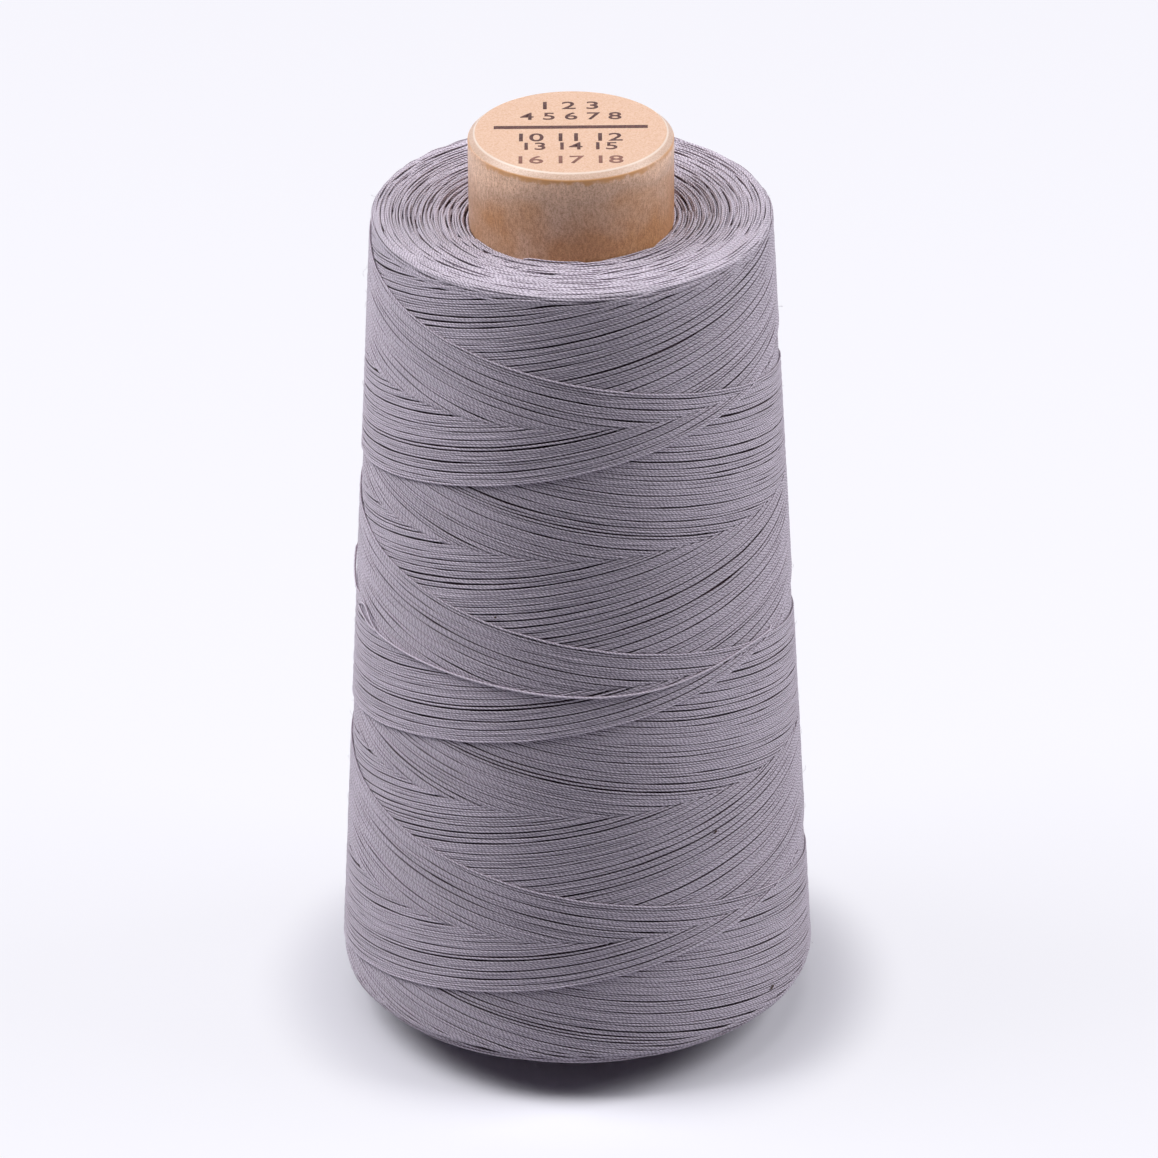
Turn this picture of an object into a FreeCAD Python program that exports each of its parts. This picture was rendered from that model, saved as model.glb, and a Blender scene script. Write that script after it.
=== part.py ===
import FreeCAD, Part
import itertools
import math
import os

os.makedirs("parts", exist_ok=True)

# A cone of sewing thread, cross-wound on a turned wooden core.
# The core's foot stands at z = 0 and the package is centred on the Z axis.
# Driving dimensions, in millimetres, degrees and counts.

# Turned core, one piece of wood
core_radius = 13.4
core_above_yarn = 11.0
core_below_yarn = 5.5
core_top_edge_width = 0.9
core_top_edge_height = 0.8
core_foot_edge = 0.6
pin_bore_radius = 4.0
pin_bore_depth = 80.0
pin_bore_lead_in = 1.0

# Wound package, measured over its outer layer
yarn_height = 112.0
yarn_lip_radius = 26.2
yarn_foot_radius = 32.1
yarn_lip_round = 1.0
yarn_foot_round = 2.0
upper_face_dip = 1.4
yarn_on_core_gap = 0.05

# Outer layer: one strand that runs up and down the package, a pair of threads thick
strand_diameter = 0.6
strand_trips = 4
rising_quarters = 11
falling_quarters = 10
crossing_gap = 0.42
seat_gap = 0.1
first_strand_angle = 15.0

# Loose end of the thread, laid over the outer layer: heights count from the package's foot
thread_diameter = 0.35
loose_end_front_height = 55.4
loose_end_rise = 1.1
tucked_loop_height = 58.6
tucked_loop_width = 1.7

# Sizes that follow from the ones above
quarter_turn = math.pi / 2
layer_step = strand_diameter + crossing_gap
layer_depth = strand_diameter + layer_step + seat_gap
yarn_taper = (yarn_lip_radius - yarn_foot_radius) / yarn_height
core_height = core_below_yarn + yarn_height + core_above_yarn
rim_tolerance = 1e-4
straight_tolerance = 1e-6


# Radius of the finished package at a height above its lower face
def package_radius(height):
    return yarn_foot_radius + yarn_taper * height


# Point on or in the package: angle counts from the front, -Y, towards +X
def package_point(angle, height, depth):
    radius = package_radius(height) - depth
    return FreeCAD.Vector(
        radius * math.sin(angle), -radius * math.cos(angle), core_below_yarn + height)


# Unit tangent of a strand that climbs by climb per radian at that point
def package_tangent(angle, height, depth, climb):
    radius = package_radius(height) - depth
    outwards = FreeCAD.Vector(math.sin(angle), -math.cos(angle), 0)
    along = FreeCAD.Vector(math.cos(angle), math.sin(angle), 0)
    tangent = outwards * (yarn_taper * climb) + along * radius + FreeCAD.Vector(0, 0, climb)
    return tangent.normalize()


# Solid of revolution of a closed outline of (radius, z) points
def turned_solid(outline):
    corners = [FreeCAD.Vector(radius, 0, z) for radius, z in outline]
    face = Part.Face(Part.makePolygon(corners + corners[:1]))
    return face.revolve(FreeCAD.Vector(0, 0, 0), FreeCAD.Vector(0, 0, 1), 360)


# The circular edges of a solid that have a given radius and height
def rim_edges(solid, radius, z):
    def on_rim(curve):
        if not isinstance(curve, Part.Circle):
            return False
        return max(abs(curve.Radius - radius), abs(curve.Center.z - z)) < rim_tolerance
    return [edge for edge in solid.Edges if on_rim(edge.Curve)]


# One circular arc from a point and tangent, given the corner and end of its tangent polygon
def tangent_arc(start, corner, end):
    middle = (start + end) * 0.5
    half_chord = (end - start).Length / 2
    rise = (corner - middle).Length
    if rise < straight_tolerance * half_chord:
        return Part.LineSegment(start, end).toShape()
    turn = math.atan2(rise, half_chord)
    crown = middle + (corner - middle) * (math.tan(turn / 2) / math.tan(turn))
    return Part.Arc(start, crown, end).toShape()


# Two arcs that join two points with the tangents given there
def biarc(start, start_tangent, end, end_tangent):
    span = end - start
    tangents = start_tangent + end_tangent
    spread = 2 * (1 - start_tangent.dot(end_tangent))
    reach = span.dot(tangents)
    if spread < straight_tolerance ** 2:
        leg = span.dot(span) / (2 * reach)
    else:
        leg = (math.sqrt(reach ** 2 + spread * span.dot(span)) - reach) / spread
    first_corner = start + start_tangent * leg
    last_corner = end - end_tangent * leg
    joint = (first_corner + last_corner) * 0.5
    return [tangent_arc(start, first_corner, joint), tangent_arc(joint, last_corner, end)]


# Round tube along stations of (point, tangent), with straight ends of one diameter
def tube(stations, diameter):
    first_point, first_tangent = stations[0]
    last_point, last_tangent = stations[-1]
    lead = first_point - first_tangent * diameter
    edges = [Part.LineSegment(lead, first_point).toShape()]
    for (start, start_tangent), (end, end_tangent) in zip(stations, stations[1:]):
        edges += biarc(start, start_tangent, end, end_tangent)
    edges.append(Part.LineSegment(last_point, last_point + last_tangent * diameter).toShape())
    path = Part.Wire(edges)
    section = Part.Wire([Part.Circle(lead, first_tangent, diameter / 2).toShape()])
    pipe = Part.BRepOffsetAPI.MakePipeShell(path)
    pipe.add(section)
    pipe.build()
    pipe.makeSolid()
    return pipe.shape(), edges


# Points along a path, each with the length of path before it
def path_points(edges, spacing):
    points = []
    travelled = 0
    for edge in edges:
        count = max(2, math.ceil(edge.Length / spacing) + 1)
        for index, point in enumerate(edge.discretize(Number=count)[:-1]):
            points.append((point, travelled + edge.Length * index / (count - 1)))
        travelled += edge.Length
    return points


# Least gap of a tube to itself, between points further apart along it than one bend
def least_gap_to_itself(edges, diameter):
    reach = diameter + 2 * crossing_gap
    bend_length = 8 * diameter
    cells = {}
    least = reach
    for point, travelled in path_points(edges, diameter / 2):
        cell = tuple(math.floor(value / reach) for value in point)
        for step in itertools.product((-1, 0, 1), repeat=3):
            near = tuple(value + shift for value, shift in zip(cell, step))
            for other, other_travelled in cells.get(near, []):
                if travelled - other_travelled > bend_length:
                    least = min(least, (point - other).Length)
        cells.setdefault(cell, []).append((point, travelled))
    return least - diameter


# Least gap of the strand to the side of the package that it lies on
def least_gap_to_package(edges, diameter):
    slant = math.cos(math.atan(yarn_taper))
    least = layer_depth
    for point, travelled in path_points(edges, diameter):
        package_side = package_radius(point.z - core_below_yarn) - layer_depth
        least = min(least, (math.hypot(point.x, point.y) - package_side) * slant - diameter / 2)
    return least


# Core: turned from one piece, with a blind bore in its foot for a stand's pin
def make_wooden_core():
    outline = [
        (pin_bore_radius + pin_bore_lead_in, 0),
        (core_radius - core_foot_edge, 0),
        (core_radius, core_foot_edge),
        (core_radius, core_height - core_top_edge_height),
        (core_radius - core_top_edge_width, core_height),
        (0, core_height),
        (0, pin_bore_depth),
        (pin_bore_radius, pin_bore_depth),
        (pin_bore_radius, pin_bore_lead_in),
    ]
    return turned_solid(outline)


# Package inside the outer layer, with rounded shoulders and a dished upper face
def make_yarn_body():
    inner_radius = core_radius + yarn_on_core_gap
    foot_radius = yarn_foot_radius - layer_depth
    lip_radius = yarn_lip_radius - layer_depth
    foot_z = core_below_yarn
    lip_z = core_below_yarn + yarn_height
    outline = [
        (inner_radius, foot_z),
        (foot_radius, foot_z),
        (lip_radius, lip_z),
        (inner_radius, lip_z - upper_face_dip),
    ]
    body = turned_solid(outline)
    body = body.makeFillet(yarn_foot_round, rim_edges(body, foot_radius, foot_z))
    return body.makeFillet(yarn_lip_round, rim_edges(body, lip_radius, lip_z))


# Stations of the strand: it rises under and falls over, and turns back in a quarter turn
def strand_stations():
    low = yarn_foot_round + strand_diameter / 2
    high = yarn_height - yarn_lip_round - strand_diameter / 2
    mean_quarters = (rising_quarters + falling_quarters) / 2
    turn_back = (high - low) / (4 * mean_quarters + 2)
    low += turn_back
    high -= turn_back
    over = strand_diameter / 2
    under = over + layer_step
    stations = []

    def run(first_quarter, quarters, start_height, end_height, depth):
        climb = (end_height - start_height) / quarters
        for step in range(quarters + 1):
            angle = math.radians(first_strand_angle) + (first_quarter + step) * quarter_turn
            height = start_height + climb * step
            point = package_point(angle, height, depth)
            tangent = package_tangent(angle, height, depth, climb / quarter_turn)
            stations.append((point, tangent))

    quarter = 0
    for trip in range(strand_trips):
        run(quarter, rising_quarters, low, high, under)
        quarter += rising_quarters + 1
        run(quarter, falling_quarters, high, low, over)
        quarter += falling_quarters + 1
    return stations


# Outer layer of the winding, as one unbroken strand
def make_outer_turns():
    solid, edges = tube(strand_stations(), strand_diameter)
    turns = strand_trips * (rising_quarters + falling_quarters + 2) - 1
    length = sum(edge.Length for edge in edges)
    section = math.pi * strand_diameter ** 2 / 4
    print("outer turns: loops", turns / 4, "length", round(length, 1))
    print("outer turns: volume over section times length", round(solid.Volume / (section * length), 4))
    print("outer turns: least gap to itself", round(least_gap_to_itself(edges, strand_diameter), 3))
    print("outer turns: least gap to the package", round(least_gap_to_package(edges, strand_diameter), 3))
    return solid


# Loose end: a tucked loop at the left, then a stretch that lies across the front
def make_thread_end():
    half_width = tucked_loop_width / 2
    loop = [(-63, -0.3), (-70, 0.7), (-77, 1), (-79.6, 0), (-77, -1), (-70, -1.2)]
    front = [(-61, 1.5), (-40, 1.1), (-20, 0.5), (0, 0), (20, 0.2), (40, 0.7), (58, 1)]
    route = [(angle, tucked_loop_height + half_width * share) for angle, share in loop]
    route += [(angle, loose_end_front_height + loose_end_rise * share) for angle, share in front]
    depth = -(seat_gap + thread_diameter / 2)
    points = [package_point(math.radians(angle), height, depth) for angle, height in route]
    stations = []
    for index, point in enumerate(points):
        before = points[max(index - 1, 0)]
        after = points[min(index + 1, len(points) - 1)]
        stations.append((point, (after - before).normalize()))
    solid, edges = tube(stations, thread_diameter)
    length = sum(edge.Length for edge in edges)
    bends = [edge.Curve.Radius for edge in edges if isinstance(edge.Curve, Part.Circle)]
    section = math.pi * thread_diameter ** 2 / 4
    print("thread end: length", round(length, 1), "tightest bend", round(min(bends), 2))
    print("thread end: volume over section times length", round(solid.Volume / (section * length), 4))
    return solid


pieces = {
    "wooden_core": make_wooden_core(),
    "yarn_body": make_yarn_body(),
    "outer_turns": make_outer_turns(),
    "thread_end": make_thread_end(),
}

for name, solid in pieces.items():
    print(name, "valid", solid.isValid(), "solids", len(solid.Solids), "volume", round(solid.Volume, 1))
    solid.exportStep("parts/" + name + ".step")
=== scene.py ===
import math
import bpy
import numpy as np
from mathutils import Matrix, Vector


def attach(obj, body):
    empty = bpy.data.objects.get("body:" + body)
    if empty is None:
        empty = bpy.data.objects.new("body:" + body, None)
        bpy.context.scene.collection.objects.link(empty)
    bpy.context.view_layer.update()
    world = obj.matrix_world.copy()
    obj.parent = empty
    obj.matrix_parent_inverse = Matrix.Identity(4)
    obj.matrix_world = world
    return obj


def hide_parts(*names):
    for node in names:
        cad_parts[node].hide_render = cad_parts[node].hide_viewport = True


# Cone of two-ply cotton thread, cross-wound on a turned wooden core.
# Sizes are written in millimetres and degrees; angles count from the front, -Y, towards +X.

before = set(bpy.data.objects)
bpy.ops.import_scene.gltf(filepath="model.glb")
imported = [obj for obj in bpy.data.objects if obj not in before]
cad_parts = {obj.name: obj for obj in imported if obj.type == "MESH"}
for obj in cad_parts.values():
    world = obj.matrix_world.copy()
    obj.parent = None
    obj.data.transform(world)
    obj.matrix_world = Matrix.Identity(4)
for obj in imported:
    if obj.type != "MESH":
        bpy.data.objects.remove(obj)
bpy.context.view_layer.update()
mm = 0.001
random = np.random.default_rng(30)
print("frame loaded")


# Small helpers

def toLinear(hexText):
    # sRGB hex to the linear colour that the sockets take
    parts = [int(hexText[i:i + 2], 16) / 255 for i in (1, 3, 5)]
    return tuple(c / 12.92 if c <= 0.04045 else ((c + 0.055) / 1.055) ** 2.4 for c in parts) + (1.0,)


def addNode(tree, kind, settings=None, links=None):
    # settings name a ramp's stops, a property or an input, links name an input and its socket
    node = tree.nodes.new("ShaderNode" + kind)
    for name, value in (settings or {}).items():
        if name == "stops":
            elements = node.color_ramp.elements
            while len(elements) < len(value):
                elements.new(0.5)
            for element, (place, hexText) in zip(elements, value):
                element.position = place
                element.color = toLinear(hexText)
        elif isinstance(name, str) and hasattr(node, name):
            setattr(node, name, value)
        else:
            node.inputs[name].default_value = toLinear(value) if isinstance(value, str) else value
    for name, socket in (links or {}).items():
        tree.links.new(socket, node.inputs[name])
    return node


def newMaterial(name, inputs):
    material = bpy.data.materials.new(name)
    material.use_nodes = True
    tree = material.node_tree
    shader = tree.nodes["Principled BSDF"]
    for socket, value in inputs.items():
        shader.inputs[socket].default_value = value
    return material, tree, shader


def deselectAll():
    if bpy.context.object and bpy.context.object.mode != "OBJECT":
        bpy.ops.object.mode_set(mode="OBJECT")
    bpy.ops.object.select_all(action="DESELECT")


def editFaces(obj, test):
    # into edit mode with only the faces selected that pass the test
    bpy.ops.object.mode_set(mode="EDIT")
    bpy.ops.mesh.select_mode(type="FACE")
    bpy.ops.mesh.select_all(action="DESELECT")
    bpy.ops.object.mode_set(mode="OBJECT")
    for polygon in obj.data.polygons:
        polygon.select = bool(test(polygon))
    bpy.ops.object.mode_set(mode="EDIT")


def faceOutwards():
    bpy.ops.mesh.select_all(action="SELECT")
    bpy.ops.mesh.normals_make_consistent(inside=False)
    bpy.ops.object.mode_set(mode="OBJECT")


def keep(obj, name, material, node):
    # a finished piece: named, dressed, riding on the spool and standing for its CAD node
    obj.name = name
    obj.data.name = name
    obj.data.materials.clear()
    obj.data.materials.append(material)
    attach(obj, "root")
    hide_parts(node)


# Materials

# Two-ply spun cotton, dyed grey: matt, with a soft halo of fibres, and the plies show as small
# slanting bulges along each thread.
threadFinish = {
    # the groove colours paint shade into the dips of the twist, paler on the loose end
    "crest": "#d6ccdb", "grooveShade": "#a097a6", "looseGrooveShade": "#b9b0be", "between": "#725f6b",
    "plyTurn": 1.2, "unevenEvery": 3.0, "unevenTurns": 1.4,    # the plies' turn round each other
    "fibreAcross": 0.18, "fibreShare": 1.4,    # ten times a real fibre, so that it shows
    "twistDepth": 0.024, "looseTwistDepth": 0.012,
    "flankFrom": 0.80, "flankByBulge": 0.12,    # how far round the dark of the flank begins
    "roughness": 0.85, "sheen": 0.25, "sheenRoughness": 0.5, "specular": 0.2,
}


def spunCotton(name, grooveShade, twistDepth):
    spec = threadFinish
    material, tree, shader = newMaterial(name, {
        "Roughness": spec["roughness"], "Sheen Weight": spec["sheen"],
        "Sheen Roughness": spec["sheenRoughness"], "Specular IOR Level": spec["specular"]})
    # the piece's own map: x is the length along the thread in mm, y goes once round it
    place = addNode(tree, "UVMap", {"uv_map": "alongThread"})
    axes = addNode(tree, "SeparateXYZ", None, {0: place.outputs["UV"]})
    spot = addNode(tree, "TexCoord").outputs["Object"]
    tone = addNode(tree, "Attribute", {"attribute_name": "tone"}).outputs["Fac"]
    lay = addNode(tree, "Math", {"operation": "MULTIPLY", 1: 1 / spec["plyTurn"]},
                  {0: axes.outputs["X"]})
    turns = addNode(tree, "Math", {"operation": "ADD"}, {0: lay.outputs[0], 1: axes.outputs["Y"]})
    # no twist is even: each thread gains and loses up to half a turn every few millimetres, and
    # its own tone, spread far out, makes its noise differ from its neighbours'
    own = addNode(tree, "Math", {"operation": "MULTIPLY", 1: 400.0}, {0: tone})
    along = addNode(tree, "CombineXYZ", None, {"X": axes.outputs["X"], "Y": own.outputs[0]})
    uneven = addNode(tree, "TexNoise", {"Scale": 1 / spec["unevenEvery"], "Detail": 3.0},
                     {"Vector": along.outputs[0]})
    twisted = addNode(tree, "Math", {"operation": "MULTIPLY_ADD", 1: spec["unevenTurns"]},
                      {0: uneven.outputs["Fac"], 2: turns.outputs[0]})
    # two plies, so two bulges in a turn
    phase = addNode(tree, "Math", {"operation": "MULTIPLY", 1: 4 * math.pi}, {0: twisted.outputs[0]})
    wave = addNode(tree, "Math", {"operation": "SINE"}, {0: phase.outputs[0]})
    bulge = addNode(tree, "Math", {"operation": "MULTIPLY_ADD", 1: 0.5, 2: 0.5},
                    {0: wave.outputs[0]})
    fibres = addNode(tree, "TexNoise", {"Scale": 1 / (spec["fibreAcross"] * mm), "Detail": 2.0,
                                        "Roughness": 0.6}, {"Vector": spot})
    ruffled = addNode(tree, "Math", {"operation": "MULTIPLY_ADD", 1: spec["fibreShare"],
                                     2: -spec["fibreShare"] / 2}, {0: fibres.outputs["Fac"]})
    height = addNode(tree, "Math", {"operation": "ADD"},
                     {0: bulge.outputs[0], 1: ruffled.outputs[0]}).outputs[0]
    # the dips between the plies' bulges are painted darker and the crests paler: painted shade and light
    # on the twist, mottled by the fibres' noise
    colour = addNode(tree, "ValToRGB", {"stops": [(0.12, grooveShade), (0.62, spec["crest"])]},
                     {"Fac": height})
    # painted shade on the thread's flanks, where it presses against its neighbours, reaching further
    # round where the bulges dip
    around = addNode(tree, "Math", {"operation": "MULTIPLY", 1: 2 * math.pi}, {0: axes.outputs["Y"]})
    flank = addNode(tree, "Math", {"operation": "SINE"}, {0: around.outputs[0]})
    flank = addNode(tree, "Math", {"operation": "ABSOLUTE"}, {0: flank.outputs[0]})
    lowest = addNode(tree, "Math", {"operation": "MULTIPLY_ADD", 1: spec["flankByBulge"],
                                    2: spec["flankFrom"]}, {0: height})
    shaded = addNode(tree, "MapRange", {"From Max": 1.0},
                     {"Value": flank.outputs[0], "From Min": lowest.outputs[0]})
    toned = addNode(tree, "Mix", {"data_type": "RGBA", 7: spec["between"]},
                    {0: shaded.outputs[0], 6: colour.outputs["Color"]})
    # each thread took the dye a little differently, and the same tone carries the painted highlight on
    # the newest threads and the loose end and the painted shade on the end faces
    toneAndPaintedLight = addNode(tree, "HueSaturation", None, {"Value": tone, "Color": toned.outputs[2]})
    tree.links.new(toneAndPaintedLight.outputs["Color"], shader.inputs["Base Color"])
    bump = addNode(tree, "Bump", {"Strength": 1.0, "Distance": twistDepth * mm}, {"Height": height})
    tree.links.new(bump.outputs["Normal"], shader.inputs["Normal"])
    return material


# The same cotton pressed inside the package, painted dark as painted shade: no light reaches it but
# through the gaps.
packedShadeFinish = {"dark": "#3c2c33", "pale": "#6e5a64", "grainAcross": 0.3, "grainDepth": 0.1}


def packedCottonShade():
    spec = packedShadeFinish
    material, tree, shader = newMaterial("packedCottonShade", {"Roughness": 0.95, "Specular IOR Level": 0.1})
    spot = addNode(tree, "TexCoord").outputs["Object"]
    grain = addNode(tree, "TexNoise", {"Scale": 1 / (spec["grainAcross"] * mm), "Detail": 3.0},
                    {"Vector": spot}).outputs["Fac"]
    colour = addNode(tree, "ValToRGB", {"stops": [(0.3, spec["dark"]), (0.7, spec["pale"])]},
                     {"Fac": grain})
    tree.links.new(colour.outputs["Color"], shader.inputs["Base Color"])
    bump = addNode(tree, "Bump", {"Strength": 0.6, "Distance": spec["grainDepth"] * mm},
                   {"Height": grain})
    tree.links.new(bump.outputs["Normal"], shader.inputs["Normal"])
    return material


# Dried bits of the seed's husk, spun in with the fibres: brown and rough.
huskFinish = {"dark": "#2b2020", "pale": "#5d4a41", "grainAcross": 0.15}


def seedHusk():
    spec = huskFinish
    material, tree, shader = newMaterial("seedHusk", {"Roughness": 0.9})
    spot = addNode(tree, "TexCoord").outputs["Object"]
    grain = addNode(tree, "TexNoise", {"Scale": 1 / (spec["grainAcross"] * mm)}, {"Vector": spot})
    colour = addNode(tree, "ValToRGB", {"stops": [(0.35, spec["dark"]), (0.65, spec["pale"])]},
                     {"Fac": grain.outputs["Fac"]})
    tree.links.new(colour.outputs["Color"], shader.inputs["Base Color"])
    return material


# Birch, turned across its grain and clear lacquered: pale end grain with fine pores, warmer and
# streaked side, a soft gloss on the side and the sloping edge and none on the end.
birch = {
    "endDark": "#c69b80", "endMid": "#d2af99", "endPale": "#dbbdab",
    "sideGrey": "#e2bda5", "sideWarm": "#d5a176", "sidePale": "#ffd9bf",
    "streakDark": "#e2d8d0", "poreDark": "#d2c0b1",
    "edgeMid": "#c4a189", "arrisHighlight": "#e6d3c6", "stain": "#dba06a",
    "poreAcross": 0.2, "streakAcross": 0.3, "blotchAcross": 1.3, "cloudAcross": 9.0,
    "paleDown": 3.6, "warmFrom": -11.0, "warmTo": 7.0,
    "stainFrom": 0.25, "stainTo": 0.75, "stainRagged": 2.0,    # above the shoulder
    "edgeFrom": -0.02, "edgeTo": 0.16,
    "brightFrom": 0.22, "brightTo": 0.12, "endFrom": 0.05, "endTo": 0.01,    # below the top
    "sideRoughness": 0.36, "endRoughness": 0.75, "grainDepth": 0.06,
}


def turnedBirch(sideFrom, coreTop, edgeHeight):
    spec = birch
    material, tree, shader = newMaterial("lacqueredBirch", {})
    spot = addNode(tree, "TexCoord").outputs["Object"]
    axes = addNode(tree, "SeparateXYZ", None, {0: spot}).outputs
    shoulder = coreTop - edgeHeight

    # end grain: fine pores
    pores = addNode(tree, "TexNoise", {"Scale": 1 / (spec["poreAcross"] * mm), "Detail": 3.0,
                                       "Roughness": 0.7}, {"Vector": spot}).outputs["Fac"]
    end = addNode(tree, "ValToRGB", {"stops": [
        (0.3, spec["endDark"]), (0.5, spec["endMid"]), (0.7, spec["endPale"])]}, {"Fac": pores})

    # side: soft clouds from pale to warm, paler near the top, warmer lower down and towards the right
    clouds = addNode(tree, "TexNoise", {"Scale": 1 / (spec["cloudAcross"] * mm), "Detail": 3.0},
                     {"Vector": spot}).outputs["Fac"]
    clouded = clouds
    for axis, low, high, lowShare, highShare in (
            ("Z", sideFrom, shoulder, 0.20, 0.0),
            ("Z", shoulder - spec["paleDown"], shoulder, 0.0, -0.40),
            ("X", spec["warmFrom"], spec["warmTo"], -0.10, 0.10)):
        trend = addNode(tree, "MapRange", {
            "From Min": low * mm, "From Max": high * mm, "To Min": lowShare, "To Max": highShare},
            {"Value": axes[axis]})
        clouded = addNode(tree, "Math", {"operation": "ADD"},
                          {0: clouded, 1: trend.outputs[0]}).outputs[0]
    side = addNode(tree, "ValToRGB", {"stops": [
        (0.28, spec["sidePale"]), (0.50, spec["sideGrey"]), (0.78, spec["sideWarm"])]},
        {"Fac": clouded}).outputs["Color"]

    # with long fine streaks and pores over them
    stretched = addNode(tree, "Mapping", {"Scale": (1.0, 1.0, 0.4)}, {"Vector": spot})
    streaks = addNode(tree, "TexNoise", {
        "Scale": 1 / (spec["streakAcross"] * mm), "Detail": 4.0, "Roughness": 0.65},
        {"Vector": stretched.outputs[0]}).outputs["Fac"]
    for grain, low, high, most, dark in ((streaks, 0.60, 0.36, 1.0, spec["streakDark"]),
                                         (pores, 0.55, 0.35, 0.8, spec["poreDark"])):
        share = addNode(tree, "MapRange", {"From Min": low, "From Max": high, "To Max": most},
                        {"Value": grain})
        side = addNode(tree, "Mix", {"data_type": "RGBA", "blend_type": "MULTIPLY", 7: dark},
                       {0: share.outputs[0], 6: side}).outputs[2]

    # a ragged line where the lacquer stained the shoulder
    blotches = addNode(tree, "TexNoise", {"Scale": 1 / (spec["blotchAcross"] * mm), "Detail": 3.0},
                       {"Vector": spot})
    ragged = addNode(tree, "Math", {"operation": "MULTIPLY_ADD", 1: spec["stainRagged"] * mm},
                     {0: blotches.outputs["Fac"], 2: axes["Z"]})
    stain = addNode(tree, "MapRange", {"From Min": (shoulder + spec["stainFrom"]) * mm,
                                       "From Max": (shoulder + spec["stainTo"]) * mm},
                    {"Value": ragged.outputs[0]})
    soaked = addNode(tree, "MapRange", {"From Min": 0.36, "From Max": 0.50, "To Min": 0.15},
                     {"Value": clouds})
    stain = addNode(tree, "Math", {"operation": "MULTIPLY"}, {0: stain.outputs[0], 1: soaked.outputs[0]})
    side = addNode(tree, "Mix", {"data_type": "RGBA", 7: spec["stain"]}, {0: stain.outputs[0], 6: side})

    # the pale sloping edge, with a painted highlight along its upper arris
    worn = addNode(tree, "MapRange", {"From Min": 0.35, "From Max": 0.6}, {"Value": pores})
    edge = addNode(tree, "Mix", {"data_type": "RGBA", 6: spec["edgeMid"], 7: spec["endPale"]},
                   {0: worn.outputs[0]})
    onArris = addNode(tree, "MapRange", {"From Min": (coreTop - spec["brightFrom"]) * mm,
                                         "From Max": (coreTop - spec["brightTo"]) * mm},
                      {"Value": axes["Z"]})
    edge = addNode(tree, "Mix", {"data_type": "RGBA", 7: spec["arrisHighlight"]},
                   {0: onArris.outputs[0], 6: edge.outputs[2]})

    # by height: side, edge, end
    onEdge = addNode(tree, "MapRange", {"From Min": (shoulder + spec["edgeFrom"]) * mm,
                                        "From Max": (shoulder + spec["edgeTo"]) * mm},
                     {"Value": axes["Z"]})
    side = addNode(tree, "Mix", {"data_type": "RGBA"},
                   {0: onEdge.outputs[0], 6: side.outputs[2], 7: edge.outputs[2]})
    onEnd = addNode(tree, "MapRange", {"From Min": (coreTop - spec["endFrom"]) * mm,
                                       "From Max": (coreTop - spec["endTo"]) * mm}, {"Value": axes["Z"]})
    colour = addNode(tree, "Mix", {"data_type": "RGBA"},
                     {0: onEnd.outputs[0], 6: side.outputs[2], 7: end.outputs["Color"]})
    gloss = addNode(tree, "MapRange", {"To Min": spec["sideRoughness"], "To Max": spec["endRoughness"]},
                    {"Value": onEnd.outputs[0]})
    bump = addNode(tree, "Bump", {"Strength": 0.3, "Distance": spec["grainDepth"] * mm},
                   {"Height": streaks})
    tree.links.new(colour.outputs[2], shader.inputs["Base Color"])
    tree.links.new(gloss.outputs[0], shader.inputs["Roughness"])
    tree.links.new(bump.outputs["Normal"], shader.inputs["Normal"])
    return material


# Brown stamping ink, soaked a little into the end grain: matt and slightly uneven, and the stamp
# ran dry towards its last row.
ink = {"dark": "#3a2426", "pale": "#6a4842", "dry": "#a9786a", "dryFrom": -4.5, "dryTo": -7.5,
       "dryShare": 0.5, "grainAcross": 0.2}


def stampingInk():
    spec = ink
    material, tree, shader = newMaterial("stampingInk", {"Roughness": 0.8})
    spot = addNode(tree, "TexCoord").outputs["Object"]
    grain = addNode(tree, "TexNoise", {"Scale": 1 / (spec["grainAcross"] * mm), "Detail": 2.0},
                    {"Vector": spot})
    colour = addNode(tree, "ValToRGB", {"stops": [(0.35, spec["dark"]), (0.7, spec["pale"])]},
                     {"Fac": grain.outputs["Fac"]})
    axes = addNode(tree, "SeparateXYZ", None, {0: spot})
    dry = addNode(tree, "MapRange", {"From Min": spec["dryFrom"] * mm, "From Max": spec["dryTo"] * mm,
                                     "To Max": spec["dryShare"]}, {"Value": axes.outputs["Y"]})
    faded = addNode(tree, "Mix", {"data_type": "RGBA", 7: spec["dry"]},
                    {0: dry.outputs[0], 6: colour.outputs["Color"]})
    tree.links.new(faded.outputs[2], shader.inputs["Base Color"])
    return material


# The package: where threads lie

package = {
    "footZ": 5.5, "height": 112.0, "lipRadius": 26.2, "footRadius": 32.1,
    "lipRound": 1.0, "footRound": 2.0, "coreRadius": 13.4, "faceDip": 1.4,
}
taper = (package["footRadius"] - package["lipRadius"]) / package["height"]


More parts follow.
